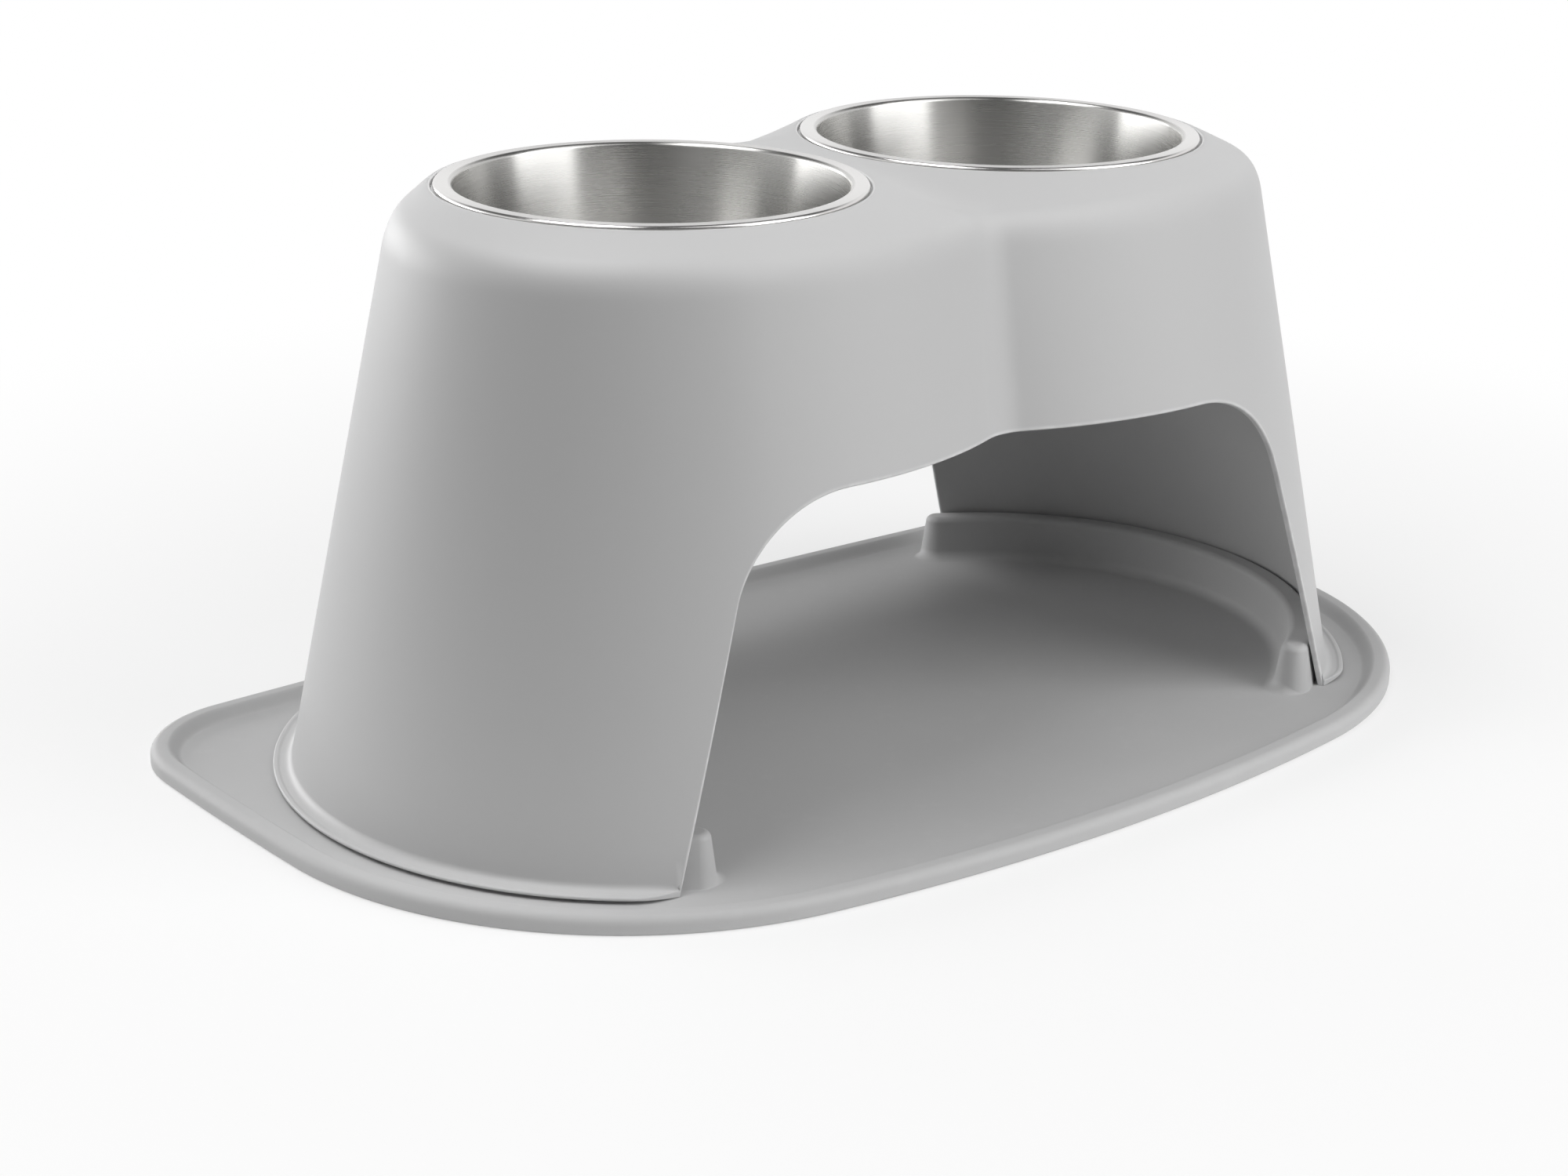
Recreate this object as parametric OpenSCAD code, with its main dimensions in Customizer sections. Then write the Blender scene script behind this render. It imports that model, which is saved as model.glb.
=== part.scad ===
// Raised feeder for a large dog: two steel bowls hang in a moulded stand,
// and the stand drops over two ridges on a low rimmed mat.
// X runs from the left bowl to the right one, +Y to the mat's straight back edge, +Z up.
// The origin is on the table, on the line through the two towers' centres.

/* [Bowls] */
// Outside diameter of a bowl's rim
rim_d = 202; // [190:1:214]
// Width of the flat band round a bowl's mouth
rim_w = 9; // [7:0.5:11]
// Height of the rim's rolled edge
rim_h = 3; // [2.4:0.1:4]
// Gap between the two rims
bowl_gap = 18.4; // [14:0.1:30]
// Depth from the top of the rim to the bowl's floor
bowl_depth = 69; // [50:1:85]
// Radius where a bowl's wall turns into its floor
bowl_turn_r = 24; // [18:1:32]
// Lean of a bowl's wall from the vertical
bowl_lean = 8; // [4:0.5:14]
// Thickness of the steel
steel_t = 0.9; // [0.7:0.1:1.4]
// How far the bowls sit behind the towers' centres
bowl_back = 8.2; // [0:0.1:9]

/* [Stand] */
// Height of the stand from its foot to the edge round the bowls
stand_h = 277; // [240:0.1:310]
// Thickness of the moulded walls
wall_t = 3; // [2.4:0.1:3.6]
// Lean of the outside wall from the vertical
wall_lean = 11.4; // [9:0.1:12]
// Width from a bowl's recess to the shoulder, averaged front and back
shoulder_w = 14.6; // [13:0.1:18]
// Fall from the edge round the bowls to the shoulder
shoulder_drop = 12.2; // [9:0.1:16]
// How far the end towers stand outside the bowls' centres
tower_shift = 11.5; // [8:0.5:15]
// Half depth of the waist at the shoulder
waist_top = 100.2; // [96:0.1:104]
// Half depth of the waist's line carried down to the foot
waist_foot = 140; // [134:0.5:146]
// Radius of the hollow down the waist
waist_r = 30; // [20:1:40]

/* [Arch] */
// Width of the arch at the foot, from leg to leg
arch_w = 422; // [404:1:434]
// Height of the arch above the foot
arch_h = 166.3; // [150:0.1:180]
// Lean of the arch's sides from the vertical
arch_lean = 17.2; // [13:0.1:20]
// Radius of the arch's upper corners
arch_r = 64; // [44:1:80]

/* [Foot] */
// Width of the flange round a leg's foot
flange_w = 8; // [6:0.5:9]
// Thickness of the flange
flange_t = 3.2; // [2.6:0.1:4.2]
// Radius of the hollow between the flange and the wall
flange_fillet_r = 4.5; // [3:0.5:5.5]

/* [Mat] */
// Thickness of the mat's floor
mat_t = 3.2; // [2.6:0.1:4]
// Height of the mat's rim above the table
mat_rim_h = 8.6; // [7:0.1:11]
// Width of the mat's rim, out to in
mat_rim_w = 15; // [12:0.5:16]
// Mat beyond the flange at each end
mat_side_margin = 24.4; // [20:0.1:32]
// Distance from the towers' centres to the middle of the back edge
mat_back = 176.3; // [172:0.1:196]
// Radius of the long front edge
mat_front_r = 1044; // [900:2:2000]
// Radius of the two big rounded ends
mat_end_r = 189.3; // [184:0.1:196]
// How far the ends' centres lie in front of the towers' centres
mat_end_y = 6.3; // [4:0.1:16]
// Radius of the short sides
mat_side_r = 2300; // [1500:50:3500]
// Radius of the two back corners
mat_corner_r = 62; // [30:1:80]
// Radius of the long back edge
mat_back_r = 5900; // [3500:50:9000]

/* [Ridges] */
// Height of a ridge above the mat's floor
ridge_h = 24.3; // [18:0.1:30]
// Width of a ridge across its top
ridge_w = 12.5; // [10:0.5:15]
// Lean of a ridge's sides from the vertical
ridge_lean = 8; // [6:0.5:9.5]
// Angle on the tower at which a ridge's rounded ends are centred
ridge_end_angle = 61.5; // [56:0.5:66]
// Radius along a ridge's top edges
ridge_top_r = 2.6; // [1.5:0.1:4]
// Radius of the hollow at a ridge's inner foot
ridge_fillet_r = 4.5; // [3:0.5:6]

/* [Fits] */
// Gap round a bowl's rim in its recess
rim_gap = 1.1; // [0.6:0.1:1.6]
// Depth of the recess that the rim drops into
recess_depth = 2; // [1.2:0.1:2.4]
// Gap between a bowl's wall and the edge of its hole
bowl_clearance = 2.5; // [1.5:0.1:4]
// Gap between a ridge's top and the leg's inside wall
ridge_clearance = 0.7; // [0.4:0.1:1.2]
// Gap under a bowl's rolled edge
rest_gap = 0.3; // [0.3:0.1:0.6]

/* [Hidden] */
$fn = 96;

// Width of the flat land round a recess
land_w = 1.2;
// Height of the shoulder's rounding, down the wall
shoulder_round_h = 13;
// Width of the shoulder's rounding, across the bevel, and the largest share of a narrow bevel
shoulder_round_w = 8;
shoulder_share = 0.4;
// Half width of the rounded valley between the bowls
valley_w = 14;
// Radius of the mat rim's outer edge
mat_edge_r = 4.2;
// Width of the mat rim up to where it starts to fall inwards
mat_crest_w = 8;
// Radius at the outer corners of a flange
flange_corner_r = 9;
// Radius along a flange's outer edge
flange_edge_r = 1.6;
// Turn of the mat's big end past its widest point
mat_side_turn = 0.6;
// Radius of a bowl's inner lip, as a share of its rim's width
lip_share = 0.25;
// Smallest rounding of a ridge's core, as a share of the wall
core_round_share = 0.25;
// Where, round a ridge's end, its inner width takes over from the outer one
cap_blend_start = 0.2;
cap_blend_share = 0.45;
// Length by which cuts pass their faces
overrun = 20;

// Angle on an end tower at which its arc hands over to the flatter front arc
front_start_angle = 78;
// Half of the turn through which a foot's flange is swept, before its ends are trimmed
flange_sweep = 80;
// Facets round a flange and round a bowl
flange_facets = 120;
bowl_facets = 180;
// Counts of steps along an outline: tower arc, front arc, waist hollow and valley line
tower_steps = 40;
front_steps = 6;
waist_steps = 3;
valley_steps = 13;
// Rings of the top, as shares of the way from the shoulder in to a bowl's recess
top_shares = [0.08, 0.17, 0.28, 0.42, 0.62, 0.81, 1];
inner_top_shares = [0.12, 0.3, 0.6, 1];
// Steps of the shoulder's rounding, outside and inside
shoulder_steps = 5;
inner_shoulder_steps = 2;
// Counts of steps along a ridge and round its ends
ridge_steps = 18;
ridge_end_steps = 8;
// Steps of a ridge's roundings, and of its core's
ridge_round_steps = 3;
core_round_steps = 1;
// Counts of steps on an arch corner, a bowl's turn, and small roundings, fine and coarse
arch_steps = 16;
bowl_turn_steps = 14;
fine_round_steps = 10;
small_round_steps = 4;
flange_corner_steps = 8;
fillet_steps = 6;
// Counts of steps round the mat: front, end, side, back corner and back
mat_steps = [5, 22, 4, 12, 4];

bowl_x = (rim_d + bowl_gap) / 2;
recess_r = rim_d / 2 + rim_gap;
land_r = recess_r + land_w;
mouth_r = rim_d / 2 - rim_w;
tower_x = bowl_x + tower_shift;
top_z = mat_t + stand_h;
seat_z = top_z - recess_depth;
shoulder_z = top_z - shoulder_drop;
tower_top_r = recess_r + shoulder_w;
tower_foot_r = tower_r(mat_t);
flange_r = tower_foot_r + flange_w;
wall_across = wall_t / cos(wall_lean);

// Radius of an end tower's outside at a height
function tower_r(z) = tower_top_r + (shoulder_z - z) * tan(wall_lean);
// Half depth of the sharp waist at a height
function waist_y(z) = waist_top + (waist_foot - waist_top) * (shoulder_z - z) / (shoulder_z - mat_t);

function mix(a, b, share) = a + (b - a) * share;
function flip_y(points) = [for (i = [len(points) - 1:-1:0]) [points[i].x, -points[i].y]];
function flip_x(points) = [for (i = [len(points) - 1:-1:0]) [-points[i].x, points[i].y]];
function tail(points) = [for (i = [1:len(points) - 1]) points[i]];
function arc(centre, r, from, to, steps) =
    [for (i = [0:steps]) centre + r * [cos(mix(from, to, i / steps)), sin(mix(from, to, i / steps))]];
function dot(a, b) = a.x * b.x + a.y * b.y;

// Right half of the stand's plan outline at height z, from the waist in front
// round the tower to the waist behind, moved inwards by inset
function half_outline(z, inset) =
    let (
        r = tower_r(z),
        centre = [tower_x, 0],
        touch = centre + r * [cos(front_start_angle), -sin(front_start_angle)],
        inward = [-cos(front_start_angle), sin(front_start_angle)],
        reach = [0, -waist_y(z)] - touch,
        front_r = dot(reach, reach) / (2 * dot(reach, inward)),
        front_centre = touch + front_r * inward,
        hollow_y = front_centre.y - sqrt(pow(front_r + waist_r, 2) - pow(front_centre.x, 2)),
        front_end = atan2(hollow_y - front_centre.y, -front_centre.x),
        hollow = arc([0, hollow_y], waist_r + inset, 90, front_end + 180, waist_steps),
        front = arc(front_centre, front_r - inset, front_end, -front_start_angle, front_steps),
        end = arc(centre, r - inset, -front_start_angle, 0, tower_steps / 2),
        quarter = concat(hollow, tail(front), tail(end))
    )
    concat(quarter, tail(flip_y(quarter)));

function full_ring(half, z) =
    [for (p = concat(half, [for (i = [len(half) - 2:-1:1]) [-half[i].x, half[i].y]])) [p.x, p.y, z]];

// Distance from the valley line, rounded off near it
function soft_x(x) = x < valley_w ? x * x / (2 * valley_w) + valley_w / 2 : x;

// One closed skin of the stand: walls, rounded shoulder, and a top that falls from a flat
// circle round each bowl to the shoulder and to the valley between the bowls
module stand_skin(inset, low_z, corner_z, high_z, circle_r, round_steps, shares) {
    bowl = [bowl_x, bowl_back];
    half = half_outline(corner_z, inset);
    inner_half = half_outline(corner_z, inset + shoulder_round_w);
    wall_half = half_outline(corner_z - shoulder_round_h, inset);
    n = len(half);
    ring_n = 2 * n - 2;
    // Slope of the top along the ray from the bowl through each shoulder point
    slopes = [for (p = half) (high_z - corner_z) / (norm(p - bowl) - circle_r)];
    function top_height(p, slope) =
        min(high_z, high_z - slope * (norm([soft_x(abs(p.x)), p.y] - bowl) - circle_r));
    edge = [for (i = [0:n - 1])
        let (
            room = shoulder_share * (norm(half[i] - bowl) - circle_r),
            p = mix(half[i], inner_half[i], min(1, room / shoulder_round_w))
        )
        [p.x, p.y, top_height(p, slopes[i])]];
    // Valley line from the back of the waist to the front
    valley = [for (i = [1:valley_steps])
        let (y = mix(edge[n - 1].y, edge[0].y, i / (valley_steps + 1)))
        [0, y, top_height([0, y], slopes[0])]];
    border = concat(edge, valley);
    border_slopes = concat(slopes, [for (p = valley) slopes[0]]);
    border_n = len(border);
    function bend(i, share) =
        let (
            a = [wall_half[i].x, wall_half[i].y, corner_z - shoulder_round_h],
            b = [half[i].x, half[i].y, corner_z],
            c = edge[i]
        )
        mix(mix(a, b, share), mix(b, c, share), share);
    function whole(points) =
        concat(points, [for (i = [n - 2:-1:1]) [-points[i].x, points[i].y, points[i].z]]);
    shoulder = [for (k = [0:round_steps]) whole([for (i = [0:n - 1]) bend(i, k / round_steps)])];
    rings = concat([full_ring(half_outline(low_z, inset), low_z)], shoulder);
    last = len(rings) - 1;
    function top_point(i, share) =
        let (
            from = [border[i].x, border[i].y],
            way = (from - bowl) / norm(from - bowl),
            p = mix(from, bowl + circle_r * way, share)
        )
        [p.x, p.y, share == 1 ? high_z : top_height(p, border_slopes[i])];
    right_top = [for (share = shares) for (i = [0:border_n - 1]) top_point(i, share)];
    left_top = [for (p = right_top) [-p.x, p.y, p.z]];
    points = concat([for (ring = rings) each ring], valley, right_top, left_top);
    valley_at = len(rings) * ring_n;
    right_at = valley_at + valley_steps;
    left_at = right_at + len(right_top);
    // Index of point i of the top's ring k, where ring 0 is the border itself
    function right_index(k, i) =
        k > 0 ? right_at + (k - 1) * border_n + i
        : i < n ? last * ring_n + i : valley_at + i - n;
    function left_index(k, i) =
        k > 0 ? left_at + (k - 1) * border_n + i
        : i < n ? last * ring_n + (ring_n - i) % ring_n : valley_at + i - n;
    walls = [for (k = [0:last - 1]) for (i = [0:ring_n - 1])
        let (j = (i + 1) % ring_n, a = k * ring_n, b = a + ring_n)
        each [[a + i, b + i, b + j], [a + i, b + j, a + j]]];
    tops = [for (k = [0:len(shares) - 1]) for (i = [0:border_n - 1])
        let (j = (i + 1) % border_n)
        each [
            [right_index(k, i), right_index(k + 1, i), right_index(k + 1, j)],
            [right_index(k, i), right_index(k + 1, j), right_index(k, j)],
            [left_index(k, i), left_index(k + 1, j), left_index(k + 1, i)],
            [left_index(k, i), left_index(k, j), left_index(k + 1, j)]
        ]];
    k = len(shares);
    caps = [
        [for (i = [0:ring_n - 1]) i],
        [for (i = [border_n - 1:-1:0]) right_index(k, i)],
        [for (i = [0:border_n - 1]) left_index(k, i)]
    ];
    polyhedron(points, concat(walls, tops, caps));
}

// Outline of the arch seen from the front
module arch_outline() {
    foot = arch_w / 2;
    side_x = foot - (arch_h - arch_r) * tan(arch_lean);
    corner = [side_x - arch_r / cos(arch_lean), mat_t + arch_h - arch_r];
    bottom = [foot + overrun * tan(arch_lean), mat_t - overrun];
    half = concat([bottom], arc(corner, arch_r, arch_lean, 90, arch_steps));
    polygon(concat(half, flip_x(half)));
}

// Flange round the foot of the right leg, with its hollow up to the wall
module foot_flange() {
    touch_z = flange_t + flange_fillet_r;
    wall_at_fillet = tower_r(mat_t + touch_z);
    fillet_centre = [wall_at_fillet + flange_fillet_r, touch_z];
    edge_centre = [flange_r - flange_edge_r, flange_t - flange_edge_r];
    profile = concat(
        [[tower_foot_r - wall_across / 2, 0], [flange_r, 0]],
        arc(edge_centre, flange_edge_r, 0, 90, small_round_steps),
        arc(fillet_centre, flange_fillet_r, 270, 180, fillet_steps),
        [[wall_at_fillet - wall_across / 2, touch_z]]
    );
    corner_x = arch_w / 2 + flange_corner_r;
    corner_y = sqrt(pow(flange_r - flange_corner_r, 2) - pow(corner_x - tower_x, 2));
    turn = atan2(corner_y, corner_x - tower_x);
    clear_r = flange_r + overrun;
    half = concat(
        [[arch_w / 2, 0]],
        arc([corner_x, -corner_y], flange_corner_r, 180, 360 - turn, flange_corner_steps),
        [[tower_x + clear_r, -clear_r], [tower_x + clear_r, 0]]
    );
    intersection() {
        translate([tower_x, 0, mat_t])
            rotate([0, 0, -flange_sweep])
                rotate_extrude(angle = 2 * flange_sweep, $fn = flange_facets)
                    polygon(profile);
        linear_extrude(mat_t + touch_z + overrun)
            polygon(concat(half, tail(flip_y(half))));
    }
}

// One-piece moulded stand, open underneath, with a recessed hole for each bowl
module stand() {
    color([0.79, 0.79, 0.79])
        difference() {
            union() {
                stand_skin(0, mat_t, shoulder_z, top_z, land_r, shoulder_steps, top_shares);
                foot_flange();
                mirror([1, 0, 0]) foot_flange();
            }
            stand_skin(
                wall_across, mat_t - overrun, shoulder_z - wall_t, seat_z - wall_t, land_r,
                inner_shoulder_steps, inner_top_shares
            );
            translate([0, tower_foot_r + flange_w + overrun, 0])
                rotate([90, 0, 0])
                    linear_extrude(2 * (tower_foot_r + flange_w + overrun))
                        arch_outline();
            for (side = [-1, 1]) translate([side * bowl_x, bowl_back, 0]) {
                translate([0, 0, seat_z]) cylinder(r = recess_r, h = recess_depth + overrun);
                translate([0, 0, seat_z - wall_t - overrun])
                    cylinder(r = mouth_r + steel_t + bowl_clearance, h = wall_t + 2 * overrun);
            }
        }
}

// Steel bowl with a flat rim and a rolled edge, pressed from one sheet
module bowl() {
    rim_top = seat_z + rest_gap + rim_h;
    roll_r = rim_h / 2;
    lip_r = rim_w * lip_share;
    floor_z = rim_top - bowl_depth;
    // Inside of the wall: rolls over the lip, leans in and turns into the floor
    lip = [mouth_r + lip_r, rim_top - lip_r];
    wall_x = lip.x - lip_r / cos(bowl_lean) - (lip.y - floor_z - bowl_turn_r) * tan(bowl_lean);
    turn = [wall_x - bowl_turn_r / cos(bowl_lean), floor_z + bowl_turn_r];
    inside = concat(
        [[0, floor_z]],
        arc(turn, bowl_turn_r, 270, 360 - bowl_lean, bowl_turn_steps),
        arc(lip, lip_r, 180 - bowl_lean, 90, fillet_steps)
    );
    rolled = arc([rim_d / 2 - roll_r, rim_top - roll_r], roll_r, 90, -90, fine_round_steps);
    outside = concat(
        [[rim_d / 2 - roll_r, rim_top - steel_t], [lip.x, rim_top - steel_t]],
        arc(lip, lip_r - steel_t, 90, 180 - bowl_lean, small_round_steps),
        arc(turn, bowl_turn_r + steel_t, 360 - bowl_lean, 270, bowl_turn_steps),
        [[0, floor_z - steel_t]]
    );
    color([0.8, 0.79, 0.77])
        rotate_extrude($fn = bowl_facets)
            polygon(concat(inside, rolled, outside));
}

module bowl_left() { translate([-bowl_x, bowl_back, 0]) bowl(); }
module bowl_right() { translate([bowl_x, bowl_back, 0]) bowl(); }

// Meeting point, on the left of the way from a to b, of circles round a and b
function meet(a, a_r, b, b_r) =
    let (
        way = b - a,
        along = (dot(way, way) + pow(a_r, 2) - pow(b_r, 2)) / (2 * norm(way)),
        aside = sqrt(pow(a_r, 2) - pow(along, 2))
    )
    a + (along * way + aside * [-way.y, way.x]) / norm(way);

// Mat outline from the middle of the front to the middle of the back, moved inwards by inset:
// a long front arc, a big rounded end, a short side, a back corner and a long back arc
function mat_half(inset) =
    let (
        end_x = tower_x + flange_r + mat_side_margin - mat_end_r,
        end = [end_x, -mat_end_y],
        front = [0, -mat_end_y + sqrt(pow(mat_front_r - mat_end_r, 2) - pow(end_x, 2))],
        front_turn = atan2(end.y - front.y, end.x),
        side = end - (mat_side_r - mat_end_r) * [cos(mat_side_turn), -sin(mat_side_turn)],
        back = [0, mat_back - mat_back_r],
        corner = meet(side, mat_side_r - mat_corner_r, back, mat_back_r - mat_corner_r),
        corner_turn = atan2(corner.y - side.y, corner.x - side.x),
        back_turn = atan2(corner.y - back.y, corner.x)
    )
    concat(
        arc(front, mat_front_r - inset, -90, front_turn, mat_steps[0]),
        tail(arc(end, mat_end_r - inset, front_turn, -mat_side_turn, mat_steps[1])),
        tail(arc(side, mat_side_r - inset, -mat_side_turn, corner_turn, mat_steps[2])),
        tail(arc(corner, mat_corner_r - inset, corner_turn, back_turn, mat_steps[3])),
        tail(arc(back, mat_back_r - inset, back_turn, 90, mat_steps[4]))
    );

// Closed solid through a stack of rings, from the lowest or outermost up. ends gives the faces
// that close each end, where one flat face round the whole ring won't do.
module skin(rings, ends = []) {
    n = len(rings[0]);
    last = len(rings) - 1;
    sides = [for (k = [0:last - 1]) for (i = [0:n - 1])
        let (j = (i + 1) % n, a = k * n, b = a + n)
        each [[a + i, b + i, b + j], [a + i, b + j, a + j]]];
    bottom = len(ends) > 0 ? ends : [[for (i = [0:n - 1]) i]];
    top = [for (face = bottom) [for (i = [len(face) - 1:-1:0]) last * n + face[i]]];
    polyhedron([for (ring = rings) each ring], concat(sides, bottom, top));
}

// Floor of the mat with its rounded rim
module mat_body() {
    fall_w = mat_rim_w - mat_crest_w;
    fall_h = mat_rim_h - mat_t;
    edge = arc([mat_edge_r, mat_rim_h - mat_edge_r], mat_edge_r, 180, 90, small_round_steps);
    fall = [for (i = [0:small_round_steps]) let (s = i / small_round_steps)
        [mat_crest_w + fall_w * s, mat_rim_h - fall_h * s * s * (3 - 2 * s)]];
    profile = concat([[0, 0]], edge, fall);
    skin([for (p = profile) let (half = mat_half(p.x))
        full_ring(half, p.y)]);
}

// Levels of a ridge from the bottom up: height, half width outwards, half width inwards.
// shrink makes its core, and a fillet above zero adds the hollow at the inner foot.
function ridge_levels(shrink, low_z, fillet) =
    let (
        top = mat_t + ridge_h - shrink,
        half_w = ridge_w / 2 - shrink / cos(ridge_lean),
        round_r = max(ridge_top_r - shrink, core_round_share * wall_t),
        slant = tan(ridge_lean),
        foot_w = half_w + (top - mat_t) * slant,
        round_w = half_w - round_r * (1 / cos(ridge_lean) - slant),
        fillet_w = foot_w - fillet * slant + fillet / cos(ridge_lean),
        round_steps = fillet > 0 ? ridge_round_steps : core_round_steps,
        hollow = arc([fillet_w, mat_t + fillet], fillet, 270, 180 + ridge_lean, ridge_round_steps),
        low_w = fillet > 0 ? hollow[0].x : half_w + (top - low_z) * slant
    )
    concat(
        [[low_z, fillet > 0 ? foot_w : low_w, low_w]],
        fillet > 0 ? [for (p = hollow) [p.y, foot_w - (p.y - mat_t) * slant, p.x]] : [],
        [for (p = arc([round_w, top - round_r], round_r, ridge_lean, 90, round_steps)) [p.y, p.x, p.x]]
    );

// Outline of a ridge at one level, round the tower's centre and round each end
function ridge_ring(level) =
    let (
        z = level.x,
        out_w = level.y,
        in_w = level.z,
        middle_r = tower_r(mat_t + ridge_h) - wall_across - ridge_clearance - ridge_w / 2,
        end = middle_r * [cos(ridge_end_angle), sin(ridge_end_angle)],
        cap = [for (i = [1:ridge_end_steps - 1])
            let (
                turn = i / ridge_end_steps,
                share = min(1, max(0, (turn - cap_blend_start) / cap_blend_share)),
                w = mix(out_w, in_w, share * share * (3 - 2 * share)),
                angle = ridge_end_angle + 180 * turn
            )
            end + w * [cos(angle), sin(angle)]],
        centre = [0, 0],
        outer = arc(centre, middle_r + out_w, -ridge_end_angle, ridge_end_angle, ridge_steps),
        inner = arc(centre, middle_r - in_w, ridge_end_angle, -ridge_end_angle, ridge_steps)
    )
    [for (p = concat(outer, cap, inner, flip_y(cap))) [tower_x + p.x, p.y, z]];

// Curved ridge that stands inside the right leg, with rounded ends
module ridge(shrink, low_z, fillet) {
    rings = [for (level = ridge_levels(shrink, low_z, fillet)) ridge_ring(level)];
    // Index of the inner arc's first point, opposite the outer arc's last one
    half = ridge_steps + ridge_end_steps;
    // Each strip joins a step of the outer arc to the same step of the inner arc
    strips = [for (i = [0:ridge_steps - 1])
        [i, i + 1, half + ridge_steps - i - 1, half + ridge_steps - i]];
    tips = [
        [for (i = [ridge_steps:half]) i],
        concat([for (i = [half + ridge_steps:2 * half - 1]) i], [0])
    ];
    skin(rings, concat(strips, tips));
}

// Soft moulded mat: rimmed floor with a hollow ridge inside each leg
module mat() {
    color([0.72, 0.72, 0.72])
        difference() {
            union() {
                mat_body();
                for (side = [0, 1]) mirror([side, 0, 0]) ridge(0, mat_t / 2, ridge_fillet_r);
            }
            for (side = [0, 1]) mirror([side, 0, 0]) ridge(wall_t, -overrun, 0);
        }
}

mat();
stand();
bowl_left();
bowl_right();
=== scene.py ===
import math

import bmesh
import bpy
from mathutils import Matrix, Vector


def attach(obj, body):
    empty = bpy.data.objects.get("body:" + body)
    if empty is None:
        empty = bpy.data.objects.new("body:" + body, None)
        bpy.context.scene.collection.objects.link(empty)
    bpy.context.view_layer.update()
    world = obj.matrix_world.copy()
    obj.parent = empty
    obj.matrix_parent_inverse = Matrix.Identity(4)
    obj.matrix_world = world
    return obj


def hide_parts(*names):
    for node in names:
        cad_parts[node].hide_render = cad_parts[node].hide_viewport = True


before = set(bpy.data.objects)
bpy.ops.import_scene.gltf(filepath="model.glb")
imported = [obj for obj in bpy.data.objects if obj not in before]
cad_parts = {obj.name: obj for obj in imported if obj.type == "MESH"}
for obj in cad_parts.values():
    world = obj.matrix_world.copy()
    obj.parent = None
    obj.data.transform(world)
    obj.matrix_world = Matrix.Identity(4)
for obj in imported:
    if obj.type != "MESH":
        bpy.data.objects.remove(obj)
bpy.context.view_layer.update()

# The camera stands a metre and a half away, in front of the left bowl and a little above the rims,
# with a lens of about 70 mm.
eye = Vector((-0.94718, -1.09312, 0.56085))
heading, dip, roll = (math.radians(angle) for angle in (39.879, 19.075, 0.87))
ahead = Vector((math.sin(heading) * math.cos(dip), math.cos(heading) * math.cos(dip), -math.sin(dip)))
level_right = ahead.cross(Vector((0, 0, 1))).normalized()
level_up = level_right.cross(ahead)
right = math.cos(roll) * level_right + math.sin(roll) * level_up
up = math.cos(roll) * level_up - math.sin(roll) * level_right
camera = bpy.data.objects.new("camera", bpy.data.cameras.new("camera"))
camera.data.lens = 69.46
camera.data.sensor_width = 36
camera.matrix_world = Matrix.Translation(eye) @ Matrix((right, up, -ahead)).transposed().to_4x4()
bpy.context.scene.collection.objects.link(camera)
bpy.context.scene.camera = camera


class Wire:
    """What comes out of a node. Arithmetic on it adds Math nodes."""

    def __init__(self, finish, socket):
        self.finish = finish
        self.socket = socket

    def math(self, operation, first, second):
        return self.finish.put("ShaderNodeMath", {"operation": operation}, {0: first, 1: second})

    def __add__(self, other):
        return self.math("ADD", self, other)

    def __sub__(self, other):
        return self.math("SUBTRACT", self, other)

    def __mul__(self, other):
        return self.math("MULTIPLY", self, other)

    def __truediv__(self, other):
        return self.math("DIVIDE", self, other)

    def __pow__(self, other):
        return self.math("POWER", self, other)

    def __rsub__(self, other):
        return self.math("SUBTRACT", other, self)

    __radd__ = __add__
    __rmul__ = __mul__


class Finish:
    """The nodes of one material, or of the world."""

    def __init__(self, owner):
        self.owner = owner
        owner.use_nodes = True
        self.tree = owner.node_tree
        self.tree.nodes.clear()

    def put(self, kind, settings=None, sockets=None, out=0):
        node = self.tree.nodes.new(kind)
        for key, value in (settings or {}).items():
            setattr(node, key, value)
        for key, value in (sockets or {}).items():
            if isinstance(value, Wire):
                self.tree.links.new(value.socket, node.inputs[key])
            else:
                node.inputs[key].default_value = value
        return Wire(self, node.outputs[out]) if len(node.outputs) else None

    def noise(self, where, scale, detail=2.0):
        return self.put("ShaderNodeTexNoise", {}, {"Vector": where, "Scale": scale, "Detail": detail})

    def blend(self, share, first, second):
        """Mixes two greys or colours."""
        return self.put("ShaderNodeMix", {"data_type": "RGBA"}, {0: share, 6: first, 7: second}, 2)

    def band(self, value, low, high):
        """Rises softly from 0 at low to 1 at high."""
        sockets = {"Value": value, "From Min": low, "From Max": high}
        return self.put("ShaderNodeMapRange", {"interpolation_type": "SMOOTHSTEP"}, sockets)

    def surface(self, sockets, height):
        """Ends a material in one shader, with a relief that is given in millimetres."""
        relief = self.put("ShaderNodeBump", {}, {"Distance": 0.001, "Height": height})
        shader = self.put("ShaderNodeBsdfPrincipled", {}, {**sockets, "Normal": relief})
        self.put("ShaderNodeOutputMaterial", {}, {"Surface": shader})


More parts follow.
